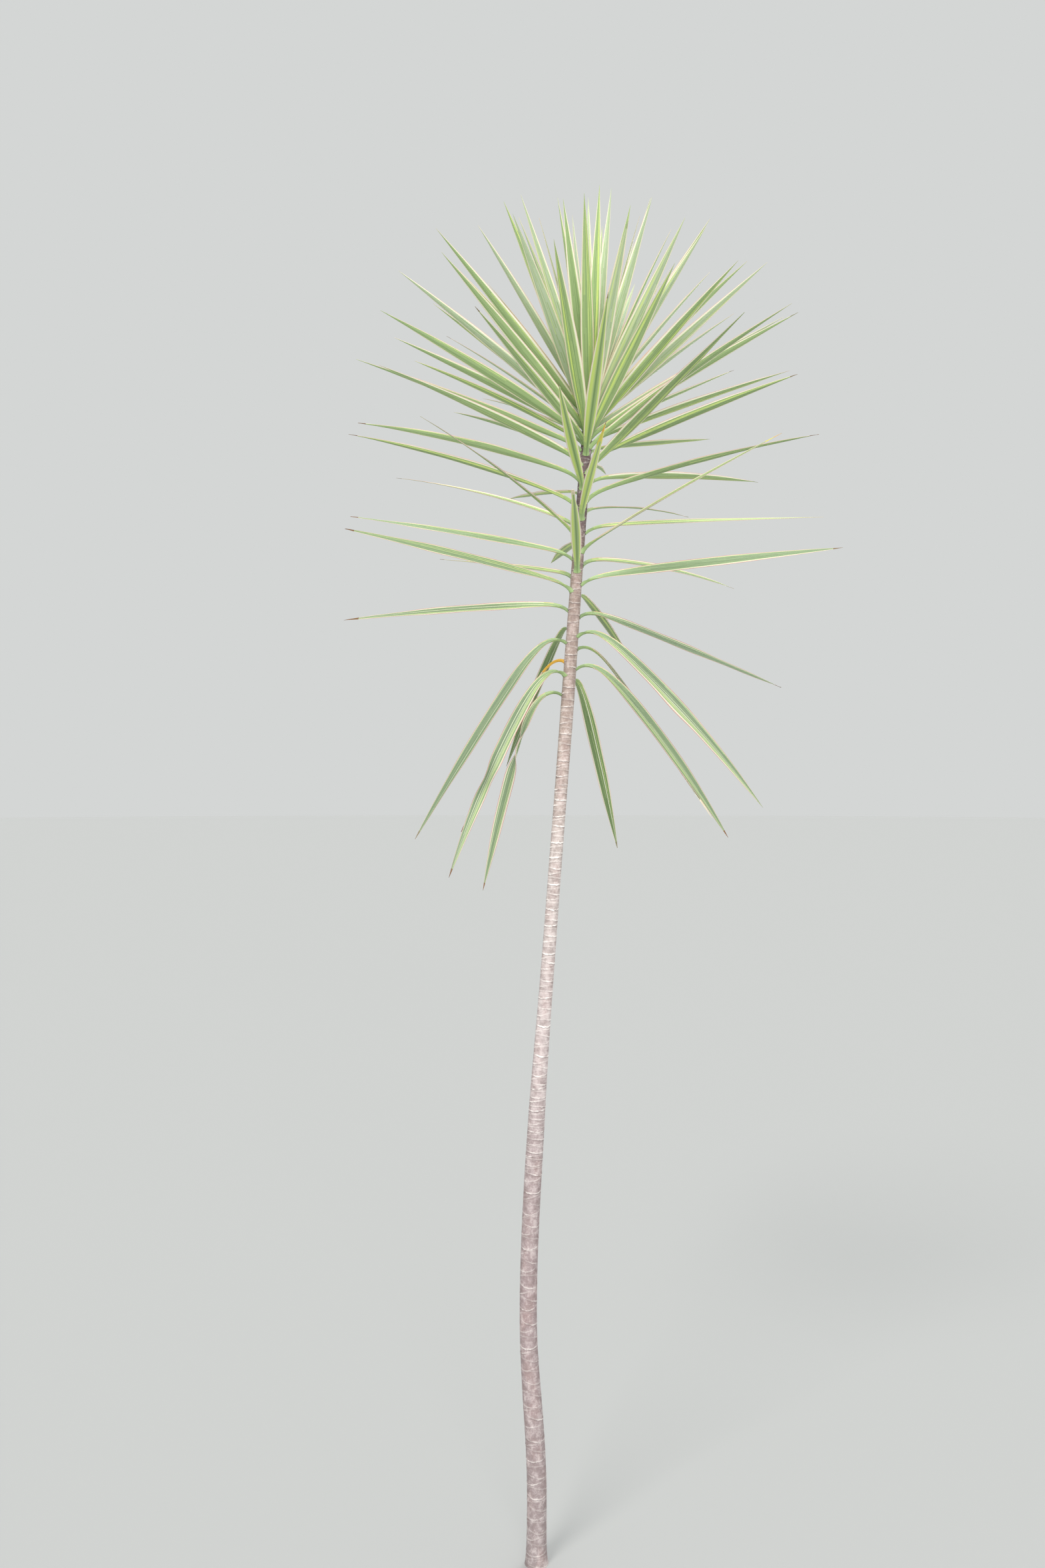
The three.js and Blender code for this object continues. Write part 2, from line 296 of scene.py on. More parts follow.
def scar_line(mark, angles):
    """The height and the strength of one scar, at each of the given angles in degrees."""
    index, height, azimuth = mark
    off = (angles - azimuth + 180) % 360 - 180
    dip = follow(SCAR_DIP, height) * lerp(*DIP_SPREAD, chance(index, "scar dip"))
    line = height + dip * (1 - np.cos(np.radians(off))) / 2
    for pace, size in SCAR_WAVES:
        wave = np.sin(np.radians(pace * (off + WAVE_SHIFT * index)))
        line += size * scatter(index, f"wave {pace}") * wave
    fade = np.clip((np.abs(off) - SCAR_FADE[0]) / (SCAR_FADE[1] - SCAR_FADE[0]), 0, 1)
    boldness = lerp(FAINTEST_SCAR, 1, chance(index, "scar"))
    return line, boldness * (1 - (1 - SCAR_LEAST) * fade * fade * (3 - 2 * fade))


marks = scar_marks()
print("scars:", len(marks))

# %% [markdown]
# ## The cane as a mesh
# A cane is a turned shape, so a straight row of points is spun about the upright axis. Each ring
# is then moved onto the cane's line and given its radius, and the relief is added. A scar is a small
# ledge: it stands out at its lower edge and fades away upwards. The rings are 1.3 mm apart,
# because the ledges are only three or four millimetres high.

# %% Spin the cane
CANE_COLUMNS = 56
CANE_ROWS = 1700


def spun_tube(columns, rows):
    """An upright tube of radius 1 and height 1, from a row of points that is spun all round."""
    tube = bmesh.new()
    points = [tube.verts.new((1, 0, row / rows)) for row in range(rows + 1)]
    edges = [tube.edges.new(pair) for pair in zip(points, points[1:])]
    bmesh.ops.spin(
        tube, geom=points + edges, cent=(0, 0, 0), axis=(0, 0, 1),
        angle=math.tau, steps=columns, use_merge=True,
    )
    return tube


cane = spun_tube(CANE_COLUMNS, CANE_ROWS)
print("cane:", len(cane.verts), "points,", len(cane.faces), "faces")

# %% [markdown]
# ## Relief from the scars
# For each column of points the scar lines are sorted, and every point learns which line is below
# it and which is above. The share of the way between the two is stored as a direction on a
# circle, because that value never jumps, so a material can read the distance to the nearest scar
# anywhere on a face and draw a line finer than the mesh.

# %% Find each point's place between two scars
LIP_HEIGHT = 0.85
LIP_ABOVE = 2.8
LIP_BELOW = 0.8
SWELLING = 0.15
BUD_ABOVE = 3.6
BUD_SIZE = 1.6
BUD_HEIGHT = 0.5
BUD_REACH = 4
BEYOND_ENDS = 40.0


def picked(values, rows):
    """For each column, the values that stand in the given rows."""
    return np.take_along_axis(values, rows, axis=0)


column_angles = np.arange(CANE_COLUMNS) * 360 / CANE_COLUMNS
row_heights = np.linspace(0, CANE_TOP, CANE_ROWS + 1)
scars = [scar_line(mark, column_angles) for mark in marks]
lines, strengths = (np.array(values) for values in zip(*scars))
edge_line = np.full((1, CANE_COLUMNS), BEYOND_ENDS)
no_strength = np.zeros((1, CANE_COLUMNS))
lines = np.vstack([lines, -edge_line, CANE_TOP + edge_line])
strengths = np.vstack([strengths, no_strength, no_strength])
order = np.argsort(lines, axis=0)
lines = picked(lines, order)
strengths = picked(strengths, order)
below = [np.searchsorted(column_lines, row_heights, side="right") - 1 for column_lines in lines.T]
below = np.array(below).T
above_line = row_heights[:, None] - picked(lines, below)
under_line = picked(lines, below + 1) - row_heights[:, None]
strength_below = picked(strengths, below)
strength_above = picked(strengths, below + 1)
gap = above_line + under_line
share = above_line / gap
strength = strength_below + (strength_above - strength_below) * share
print("widest stretch between scars:", round(float(gap.max()), 1), "mm")

# %% Turn the places into relief
ledge_above = strength_below * np.exp(-((above_line / LIP_ABOVE) ** 2))
ledge_below = strength_above * np.exp(-((under_line / LIP_BELOW) ** 2))
relief = LIP_HEIGHT * np.maximum(ledge_above, ledge_below) + SWELLING * np.sin(np.pi * share)

buds = np.zeros_like(relief)
for index, height, azimuth in marks:
    off = (column_angles - azimuth + 180) % 360 - 180
    sideways = np.radians(off) * radius_at(height)
    upwards = row_heights[:, None] - height - BUD_ABOVE
    near = np.abs(upwards[:, 0]) < BUD_REACH * BUD_SIZE
    spot = np.exp(-(sideways[None, :] ** 2 + upwards[near] ** 2) / BUD_SIZE**2)
    buds[near] = np.maximum(buds[near], spot * chance(index, "streak"))
relief += BUD_HEIGHT * buds
print("relief from", round(float(relief.min()), 2), "to", round(float(relief.max()), 2), "mm")

# %% [markdown]
# ## Shape the tube
# The relief goes on radially, and each ring moves sideways onto the cane's line. Slow waves make
# the section a little out of round, as a living stem is. The ends are closed with one face each:
# the foot is the flat cut at ground level, and the tip is hidden in the youngest leaves.

# %% Move every point of the cane
OUT_OF_ROUND = 0.03
OVAL_PACE = 140
LOBED_PACE = 95

axis_places = np.array([axis_point(height) for height in row_heights])
radii = np.array([radius_at(height) for height in row_heights])
phase_layer = cane.verts.layers.float_vector.new("scar_place")
strength_layer = cane.verts.layers.float.new("scar_strength")
bud_layer = cane.verts.layers.float.new("bud")
for point in cane.verts:
    row = round(point.co.z * CANE_ROWS)
    turn = math.atan2(point.co.y, point.co.x)
    column = round(turn / math.tau * CANE_COLUMNS) % CANE_COLUMNS
    height = row_heights[row]
    waves = math.sin(2 * turn + height / OVAL_PACE) + math.sin(3 * turn - height / LOBED_PACE)
    reach = radii[row] * (1 + OUT_OF_ROUND / 2 * waves) + relief[row, column]
    place = axis_places[row] + reach * np.array([math.cos(turn), math.sin(turn), 0])
    point.co = Vector(place) * MM
    circle = math.tau * share[row, column]
    point[phase_layer] = (math.cos(circle), math.sin(circle), gap[row, column])
    point[strength_layer] = strength[row, column]
    point[bud_layer] = buds[row, column]
print("cane shaped")

# %% [markdown]
# ## Unwrap the cane
# A cane is seventy times as long as it is thick, and one long strip would waste nearly all of a
# square image. The unwrapped bark is laid out as five strips side by side. The material doesn't
# read this map, which is only there so that the bark can be baked sharply.

# %% A bark map in five strips
CANE_BANDS = 5
BAND_MARGIN = 0.04

band_height = CANE_TOP * MM / CANE_BANDS
bark_map = cane.loops.layers.uv.new("OFBake")
for face in cane.faces:
    middle = face.calc_center_median()
    axis = axis_point(middle.z / MM) * MM
    face_turn = math.atan2(middle.y - axis.y, middle.x - axis.x)
    band = min(int(middle.z / band_height), CANE_BANDS - 1)
    for loop in face.loops:
        off_axis = loop.vert.co - axis
        turn = math.atan2(off_axis.y, off_axis.x)
        turn = face_turn + (turn - face_turn + math.pi) % math.tau - math.pi
        across = lerp(BAND_MARGIN, 1 - BAND_MARGIN, turn / math.tau + 0.5)
        loop[bark_map].uv = ((band + across) / CANE_BANDS, loop.vert.co.z / band_height - band)

foot_edges = [edge for edge in cane.edges if edge.is_boundary]
caps = bmesh.ops.holes_fill(cane, edges=foot_edges, sides=0)["faces"]
for cap in caps:
    for loop in cap.loops:
        loop[bark_map].uv = (0, 0)
bmesh.ops.recalc_face_normals(cane, faces=cane.faces[:])
print("caps:", len(caps))

# %% [markdown]
# ## From bmesh to piece
# A bmesh is only a workbench. The helper stores it as a mesh on an object that sits at the origin,
# so the piece's place is in its points. The cane then rides on the plant's one body, stands in for
# the solid cane, which is hidden, and gets the bark material once that is made.

# %% Make pieces from meshes
CANE_CREASE = math.radians(60)


def make_piece(name, mesh_source, smooth=True):
    """An object at the origin, from a bmesh that is already in place."""
    mesh = bpy.data.meshes.new(name)
    mesh_source.to_mesh(mesh)
    mesh_source.free()
    mesh.polygons.foreach_set("use_smooth", [smooth] * len(mesh.polygons))
    piece = bpy.data.objects.new(name, mesh)
    scene.collection.objects.link(piece)
    return piece


cane_piece = make_piece("cane_bark", cane)
cane_piece.data.set_sharp_from_angle(angle=CANE_CREASE)
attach(cane_piece, "root")
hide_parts("cane")
print("cane piece:", len(cane_piece.data.polygons), "faces")

# %% [markdown]
# ## Colours and nodes
# Colours are chosen as they look on a screen, from 0 to 255, and Blender wants them linear. The
# second helper adds a node, sets its plain values and links its inputs in one call, which keeps
# the materials below short enough to read.

# %% Colour and node helpers
MIX_SOCKETS = (0, 6, 7)


def linear(colour):
    """A screen colour from 0 to 255 as Blender's linear colour."""
    shares = [channel / 255 for channel in colour]
    return [s / 12.92 if s <= 0.04045 else ((s + 0.055) / 1.055) ** 2.4 for s in shares] + [1.0]


def add_node(tree, kind, inputs=None, **settings):
    """A node whose inputs are each a plain value or the output that feeds them."""
    node = tree.nodes.new(kind)
    for name, value in settings.items():
        setattr(node, name, value)
    for name, value in (inputs or {}).items():
        if isinstance(value, bpy.types.NodeSocket):
            tree.links.new(value, node.inputs[name])
        else:
            node.inputs[name].default_value = value
    return node


def maths(tree, operation, first, second=0.0, limited=False):
    """The result of one sum, kept between 0 and 1 where it is limited."""
    inputs = {0: first, 1: second}
    return add_node(tree, "ShaderNodeMath", inputs, operation=operation, use_clamp=limited).outputs[0]


def blended(tree, share, first, second):
    """The first colour, going over to the second as share goes from 0 to 1."""
    node = add_node(tree, "ShaderNodeMix", data_type="RGBA")
    sockets = [node.inputs[number] for number in MIX_SOCKETS]
    for socket, value in zip(sockets, (share, first, second)):
        if isinstance(value, bpy.types.NodeSocket):
            tree.links.new(value, socket)
        else:
            socket.default_value = value
    return node.outputs[2]


def new_material(name):
    material = bpy.data.materials.new(name)
    material.use_nodes = True
    return material, material.node_tree, material.node_tree.nodes["Principled BSDF"]


print("helpers ready")

# %% [markdown]
# ## Bark
# The bark is dry and matt, a pinkish grey low down, paler in the middle and tan near the leaves,
# and among the leaves the stem is painted a dark purple brown as the shade of the crown. Each scar
# is a broken pale line, partly its own pale ridge and partly a painted highlight on its lip, with a
# fine painted shadow under it, and the bud above it is a pale dot. Between the scars the bark has
# fine level wrinkles, rosy patches, and blotches both darker and paler. How much the lines, the
# painted shadows and the wrinkles show depends on the height. The scar's distance comes from the
# direction stored on the mesh, turned back into an angle with an arctangent.

# %% Bark material
BARK_BY_HEIGHT = [
    (0.0, (150, 138, 138)),
    (0.5, (158, 141, 142)),
    (0.8, (168, 153, 153)),
    (1.0, (194, 181, 180)),
    (1.35, (192, 180, 175)),
    (1.55, (176, 158, 149)),
    (1.9, (159, 139, 130)),
    # The last stop is painted shade: among the leaves the stem is painted a dark purple brown.
    (2.0, (80, 61, 69)),
]
LINE_BY_HEIGHT = [(0.0, 0.5), (0.7, 0.65), (1.0, 1.2), (1.4, 1.5), (1.52, 0.8), (2.0, 0.25)]
SHADOW_BY_HEIGHT = [(0.0, 0.4), (0.7, 0.5), (0.78, 1.0), (0.9, 1.0), (0.97, 0.6), (1.2, 0.9), (1.62, 1.0)]
WRINKLE_BY_HEIGHT = [(0.0, 0.1), (0.75, 0.3), (1.05, 1.0), (1.45, 1.0), (1.6, 0.5), (2.0, 0.2)]
BARK_DARK = (112, 95, 92)
BARK_ROSY = (176, 150, 146)
# Partly the scar's own pale ridge and partly a painted highlight on its lip; the bud dots use it too.
SCAR_PALE_AND_HIGHLIGHT = (246, 240, 235)
SCAR_SHADOW = (84, 66, 64)
WRINKLE_PALE = (226, 216, 213)
TALLEST = 2.3

bark, tree, shader = new_material("bark")
place = add_node(tree, "ShaderNodeTexCoord").outputs["Object"]
scar_place = add_node(tree, "ShaderNodeAttribute", attribute_name="scar_place").outputs["Vector"]
scar_strength = add_node(tree, "ShaderNodeAttribute", attribute_name="scar_strength").outputs["Fac"]
bud_mark = add_node(tree, "ShaderNodeAttribute", attribute_name="bud").outputs["Fac"]
print("bark nodes:", len(tree.nodes))

# %% Noises and ramps
WRINKLE_GRAIN = (60, 60, 340)
BLOTCH_GRAIN = (75, 75, 60)
ROSY_GRAIN = (38, 38, 16)
BREAK_GRAIN = (110, 110, 170)
WANDER_GRAIN = (230, 230, 160)


def stretched_noise(tree, vector, stretch, detail=2.0, roughness=0.5):
    """Noise whose grain runs at a different pace along each axis."""
    mapping = add_node(tree, "ShaderNodeMapping", {"Vector": vector, "Scale": stretch})
    inputs = {"Vector": mapping.outputs[0], "Scale": 1.0, "Detail": detail, "Roughness": roughness}
    return add_node(tree, "ShaderNodeTexNoise", inputs).outputs["Fac"]


def ramp_between(tree, value, low, high):
    """0 below low, 1 above high, and a straight run between."""
    inputs = {"Value": value, "From Min": low, "From Max": high}
    return add_node(tree, "ShaderNodeMapRange", inputs).outputs["Result"]


def patches(tree, noise, ramp, most):
    """A share that is nothing at one end of the noise's ramp and grows to the most at the other."""
    return maths(tree, "MULTIPLY", ramp_between(tree, noise, *ramp), most)


def by_height(tree, height, stops):
    """A colour or a number that changes with the height in metres, through a list of stops."""
    share = maths(tree, "DIVIDE", height, TALLEST)
    ramp = add_node(tree, "ShaderNodeValToRGB", {0: share})
    points = ramp.color_ramp.elements
    while len(points) < len(stops):
        points.new(1.0)
    for point, (level, colour) in zip(points, stops):
        point.position = level / TALLEST
        point.color = linear(colour) if isinstance(colour, tuple) else [colour] * 3 + [1.0]
    return ramp.outputs["Color"]


wrinkles = stretched_noise(tree, place, WRINKLE_GRAIN, detail=2, roughness=0.6)
blotches = stretched_noise(tree, place, BLOTCH_GRAIN, detail=5, roughness=0.75)
rosy_patches = stretched_noise(tree, place, ROSY_GRAIN, detail=2)
line_break = stretched_noise(tree, place, BREAK_GRAIN, detail=3, roughness=0.65)
wander = stretched_noise(tree, place, WANDER_GRAIN, detail=3)
print("bark nodes:", len(tree.nodes))

# %% How far the nearest scar is
SCAR_WANDER = 2.2
HALF_LINE = (2.1, 0.4)
SHADOW_UNDER = 1.7
HALF_SHADOW = (1.2, 0.2)

circle_parts = add_node(tree, "ShaderNodeSeparateXYZ", {0: scar_place}).outputs
circle_share = maths(tree, "DIVIDE", maths(tree, "ARCTAN2", circle_parts[1], circle_parts[0]), math.tau)
scar_distance = maths(tree, "MULTIPLY", circle_share, circle_parts[2])
stray = maths(tree, "MULTIPLY", maths(tree, "SUBTRACT", wander, 0.5), SCAR_WANDER)
scar_distance = maths(tree, "ADD", scar_distance, stray)
line_share = ramp_between(tree, maths(tree, "ABSOLUTE", scar_distance), *HALF_LINE)
shadow_distance = maths(tree, "ABSOLUTE", maths(tree, "ADD", scar_distance, SHADOW_UNDER))
shadow_share = maths(tree, "MULTIPLY", ramp_between(tree, shadow_distance, *HALF_SHADOW), scar_strength)
print("bark nodes:", len(tree.nodes))

# %% Bark colours
ROSY_PATCHES = ((0.5, 0.7), 0.4)
DARK_BLOTCHES = ((0.54, 0.36), 0.5)
PALE_BLOTCHES = ((0.5, 0.66), 0.4)
FINE_WRINKLES = ((0.5, 0.7), 0.42)
BUD_DOTS = ((0.3, 0.7), 0.5)
LINE_BREAKS = (0.36, 0.56)
LEAST_LINE = 0.1

height = add_node(tree, "ShaderNodeSeparateXYZ", {0: place}).outputs[2]
wrinkle_share = patches(tree, wrinkles, *FINE_WRINKLES)
wrinkle_share = maths(tree, "MULTIPLY", wrinkle_share, by_height(tree, height, WRINKLE_BY_HEIGHT))
shadow_share = maths(tree, "MULTIPLY", shadow_share, by_height(tree, height, SHADOW_BY_HEIGHT))
broken = maths(tree, "MULTIPLY", scar_strength, ramp_between(tree, line_break, *LINE_BREAKS))
# The pale scar line is partly the ridge's own colour and partly a painted highlight.
pale_share = maths(tree, "MULTIPLY", line_share, maths(tree, "ADD", broken, LEAST_LINE))
pale_share = maths(tree, "MULTIPLY", pale_share, by_height(tree, height, LINE_BY_HEIGHT), limited=True)
layers = [
    (patches(tree, rosy_patches, *ROSY_PATCHES), BARK_ROSY),
    (patches(tree, blotches, *DARK_BLOTCHES), BARK_DARK),
    (patches(tree, blotches, *PALE_BLOTCHES), WRINKLE_PALE),
    (wrinkle_share, WRINKLE_PALE),
    (shadow_share, SCAR_SHADOW),
    (pale_share, SCAR_PALE_AND_HIGHLIGHT),
    (patches(tree, bud_mark, *BUD_DOTS), SCAR_PALE_AND_HIGHLIGHT),
]
bark_colour = by_height(tree, height, BARK_BY_HEIGHT)
for layer_share, layer_colour in layers:
    bark_colour = blended(tree, layer_share, bark_colour, linear(layer_colour))
tree.links.new(bark_colour, shader.inputs["Base Color"])
print("bark nodes:", len(tree.nodes))

# %% Bark roughness and fine relief
WRINKLE_RELIEF = 0.6
BLOTCH_RELIEF = 0.5
LINE_RELIEF = 0.4
BARK_BUMP = {"Strength": 0.7, "Distance": 0.0006}
BARK_ROUGHNESS = {"To Min": 0.68, "To Max": 0.92}

wrinkle_height = maths(tree, "MULTIPLY", wrinkles, WRINKLE_RELIEF)
blotch_height = maths(tree, "MULTIPLY", blotches, BLOTCH_RELIEF)
line_height = maths(tree, "MULTIPLY", line_share, LINE_RELIEF)
fine_height = maths(tree, "ADD", maths(tree, "ADD", wrinkle_height, blotch_height), line_height)
bark_bump = add_node(tree, "ShaderNodeBump", {"Height": fine_height, **BARK_BUMP})
tree.links.new(bark_bump.outputs[0], shader.inputs["Normal"])
bark_roughness = add_node(tree, "ShaderNodeMapRange", {"Value": blotches, **BARK_ROUGHNESS})
tree.links.new(bark_roughness.outputs[0], shader.inputs["Roughness"])
cane_piece.data.materials.append(bark)
print("bark finished with", len(tree.nodes), "nodes")

# %% [markdown]
# ## Leaf colours
# A leaf of this plant is striped along its length: a fine red edge, a cream margin, and a green
# middle with darker lines and a bright yellow-green streak. A painted texture would smear across
# such narrow blades, so each stripe is a run of faces with a plain colour of its own. The tones
# go from 0, dull and dark on the oldest leaves, to 4, fresh and light on the young ones. Tone 5
# adds a pale bloom to the topmost leaves, partly their waxy bloom and partly a painted sheen. The
# upper side has a painted silvery sheen mixed into its colour, and the underside is painted with
# some of the yellow green that daylight gives it through the blade, with margins painted lighter.

# %% Tissue colours
YOUNG_TONE = 4
BLOOM_AND_SHEEN_TONE = 5
OLD_TISSUES = {
    "edge": (178, 128, 118),
    "cream": (212, 200, 184),
    "pale": (184, 192, 162),
    "bright": (160, 180, 112),
    "light": (146, 166, 114),
    "fresh": (116, 138, 88),
    "green": (94, 117, 78),
    "shade": (72, 94, 66),
    "dark": (54, 75, 54),
}
YOUNG_TISSUES = {
    "edge": (226, 176, 156),
    "cream": (252, 245, 224),
    "pale": (226, 234, 188),
    "bright": (212, 232, 130),
    "light": (201, 220, 140),
    "fresh": (178, 202, 134),
    "green": (156, 181, 130),
    "shade": (126, 156, 104),
    "dark": (90, 122, 72),
}
SPENT_TISSUES = {
    "brown": (126, 92, 62),
    "straw": (238, 224, 192),
    "yellow": (226, 216, 96),
    "orange": (240, 186, 70),
}
# Painted sheen: the upper side is mixed towards this silvery colour, more on old leaves than on young.
SHEEN_COLOUR = (178, 186, 174)
SHEEN_SHARES = (0.28, 0.2)
# Painted light: the underside is mixed towards this yellow green, as daylight shining through the blade.
GLOW_COLOUR = (216, 232, 146)
GLOW_SHARE = 0.12
# The topmost tone's bloom is partly the leaves' waxy bloom and partly a painted sheen of the light behind
# them.
BLOOM_AND_SHEEN_COLOUR = (206, 213, 204)
BLOOM_AND_SHEEN_SHARE = 0.5
PALE_KINDS = ("edge", "cream", "pale")
# Painted light: the underside's margins are made lighter, as daylight shining through them.
MARGIN_LIT = (255, 250, 236)
LIT_MARGIN = 0.4


def tissue_colour(name, underside):
    """The screen colour of a tissue, such as green_3, or of a spent one, such as brown."""
    kind, _, tone = name.partition("_")
    if kind in SPENT_TISSUES:
        return SPENT_TISSUES[kind]
    share = min(1, int(tone) / YOUNG_TONE)
    colour = [lerp(old, young, share) for old, young in zip(OLD_TISSUES[kind], YOUNG_TISSUES[kind])]
    # The pale tissues' underside is painted lighter, as light through the margin.
    if kind in PALE_KINDS:
        return [lerp(channel, level, LIT_MARGIN * underside) for channel, level in zip(colour, MARGIN_LIT)]
    # Painted light: the upper side gets a silvery sheen and the underside a yellow-green glow through the
    # blade.
    light, amount = (GLOW_COLOUR, GLOW_SHARE) if underside else (SHEEN_COLOUR, lerp(*SHEEN_SHARES, share))
    colour = [lerp(channel, level, amount) for channel, level in zip(colour, light)]
    # The topmost tone is mixed towards the pale bloom colour, which is partly a painted sheen.
    bloom = BLOOM_AND_SHEEN_SHARE if int(tone) == BLOOM_AND_SHEEN_TONE else 0
    return [lerp(channel, level, bloom) for channel, level in zip(colour, BLOOM_AND_SHEEN_COLOUR)]


greens = [tissue_colour(f"green_{tone}", True) for tone in range(BLOOM_AND_SHEEN_TONE + 1)]
print("greens:", [[round(channel) for channel in green] for green in greens])

# %% [markdown]
# ## Leaf surface
# The blades are smooth and waxy, with fine veins that run from base to tip and catch the light
# as a silvery sheen. The veins are noise stretched along a map that measures the blade in its
# own across and along directions. It only drives the bump and the roughness, and the colour
# stays one plain value. The upper side is the waxier one, and so it is the glossier.

# %% Leaf material
VEIN_STRETCH = (95, 1.4, 1)
LEAF_ROUGHNESS = (0.42, 0.6)
LEAF_SPECULAR = 0.35
UNDERSIDE_ROUGHNESS = (0.5, 0.66)
VEIN_BUMP = {"Strength": 0.25, "Distance": 0.0003}

leaf_materials = {}


def leaf_material(tissue, underside):
    """The material of one tissue, made the first time that it is asked for."""
    name = f"leaf_{tissue}_under" if underside else f"leaf_{tissue}"
    if name in leaf_materials:
        return leaf_materials[name]
    material, tree, shader = new_material(name)
    shader.inputs["Base Color"].default_value = linear(tissue_colour(tissue, underside))
    shader.inputs["Specular IOR Level"].default_value = LEAF_SPECULAR
    blade_map = add_node(tree, "ShaderNodeUVMap", uv_map="blade").outputs[0]
    veins = stretched_noise(tree, blade_map, VEIN_STRETCH, detail=2)
    low, high = UNDERSIDE_ROUGHNESS if underside else LEAF_ROUGHNESS
    roughness = add_node(tree, "ShaderNodeMapRange", {"Value": veins, "To Min": low, "To Max": high})
    tree.links.new(roughness.outputs[0], shader.inputs["Roughness"])
    bump = add_node(tree, "ShaderNodeBump", {"Height": veins, **VEIN_BUMP})
    tree.links.new(bump.outputs[0], shader.inputs["Normal"])
    leaf_materials[name] = material
    return material


print("a leaf green:", leaf_material("green_3", False).name)

# %% [markdown]
# ## The stripes of one leaf
# A blade is divided into columns that run its whole length. It is folded a little along its
# middle, and the middle line is painted darker as the shade in the fold. On most leaves one half
# is a bright yellow green and the other a plain green, often with one darker line. Most of the
# oldest leaves have a fine silvery line or two as well.
# Outside them come the margin, thin on some leaves and wide on others, and the pink edge. Four
# leaves at the front have light margins, and one half or both halves of each are bright.

# %% Columns and their tissues
HALF_EDGES = [0, 0.035, 0.12, 0.22, 0.34, 0.46, 0.56, 0.65, 0.74, 0.83, 0.92, 1]
HALF_COLUMNS = len(HALF_EDGES) - 1
COLUMN_EDGES = [-edge for edge in reversed(HALF_EDGES[1:])] + HALF_EDGES
BLADE_COLUMNS = len(COLUMN_EDGES) - 1
# The first column of each half is painted darker, as the shade in the fold.
BRIGHT_HALF = ["shade", "green", "fresh", "light", "bright", "bright"]
PLAIN_HALF = ["shade", "green", "green", "green", "green", "green"]
DEEP_HALF = ["dark", "shade", "shade", "green", "green", "fresh"]
SILVER_AGE = 0.83
SILVER_LOTS = 9
DARK_LOTS = 11
LEFT_BRIGHT_UNDER = 0.35
RIGHT_BRIGHT_UNDER = 0.7
FAIR_MARGIN_OVER = 0.35
WIDE_MARGIN_OVER = 0.75
MARGINS = {
    "lit": ["bright", "bright", "pale", "cream", "edge"],
    "thin": ["green", "green", "fresh", "pale", "edge"],
    "fair": ["green", "fresh", "pale", "cream", "edge"],
    "wide": ["fresh", "pale", "cream", "cream", "edge"],
}
TONE_BY_LEAF = [(0, 0.2), (14, 1.2), (20, 2.8), (30, 3.8), (48, 4), (62, 5), (110, 5)]
TONE_SPREAD = 2
TONE_SHIFT = 0.75
BRIGHT_SIDES = {20: "left", 28: "both", 33: "left", 41: "left"}


def leaf_tone(leaf):
    """Old leaves are dull, young ones fresh, and most of the topmost have a bloom that is partly a painted
    sheen.
    """
    if leaf.index in BRIGHT_SIDES:
        return YOUNG_TONE
    stray = TONE_SPREAD * (chance(leaf.index, "tone") - TONE_SHIFT)
    return round(clamp(follow(TONE_BY_LEAF, leaf.index) + stray, 0, BLOOM_AND_SHEEN_TONE))


def half_tissues(leaf, side):
    """The tissues of one half of a blade, from the middle line to the edge."""
    if leaf.index in BRIGHT_SIDES:
        lit = BRIGHT_SIDES[leaf.index] in (side, "both")
        return (BRIGHT_HALF if lit else DEEP_HALF) + MARGINS["lit"]
    lot = chance(leaf.index, "bright side")
    bright_side = "left" if lot < LEFT_BRIGHT_UNDER else "right" if lot < RIGHT_BRIGHT_UNDER else None
    tissues = list(BRIGHT_HALF if side == bright_side else PLAIN_HALF)
    silver_line = 1 + int(SILVER_LOTS * chance(leaf.index, side + " silver"))
    if leaf.age > SILVER_AGE and silver_line < len(tissues):
        tissues[silver_line] = "pale"
    dark_line = 2 + int(DARK_LOTS * chance(leaf.index, side + " line"))
    if dark_line < len(tissues):
        tissues[dark_line] = "shade"
    width = chance(leaf.index, side + " margin")
    margin = "wide" if width > WIDE_MARGIN_OVER else "fair" if width > FAIR_MARGIN_OVER else "thin"
    return tissues + MARGINS[margin]


def column_tissues(leaf):
    """The tissue of each column of a blade, from its left edge to its right."""
    return half_tissues(leaf, "left")[::-1] + half_tissues(leaf, "right")


print("stripes of the front leaf:", column_tissues(plans[FRONT_LEAF]))

# %% [markdown]
# ## Bases, streaks and dead tips
# Along the blade the columns keep their tissue, with a few exceptions. The margins brighten in
# steps from a green base, an old leaf is fresher near its base, the tones drift a little from
# column to column, and a light streak may run part of the way. The tip of an old leaf dries to
# brown or straw, further down at the edges, and two tips go through yellow and orange first.

# %% The tissue of a face
BASE_STEP = 0.03
BASE_TISSUES = ["green", "fresh", "light", "pale"]
BASE_RANKS = {"fresh": 1, "light": 2, "bright": 3, "pale": 3, "cream": 4, "edge": 2}
FRESH_BASES = (0.08, 0.16, 0.25)
RAGGED_BASE = 0.035
EDGE_LEAD = 0.12
DRIFT_PACE = 1.3
DRIFT_STEP = 2.4
DRIFT_SIZE = 1.2
STREAK_INSET = 2
STREAK_STARTS = (0.1, 0.6)
STREAK_LENGTH = 0.35
DEAD_SHARE = 0.04
YELLOW_SHARE = 0.6
BROWN_SHARE = 0.15
SPENT_TIPS = {
    8: ("straw", 0.1), 14: ("brown", 0.05), 20: ("straw", 0.05), 23: ("orange", 0.06), 28: ("orange", 0.2),
}
SPENT_BASES = {6: 0.12}


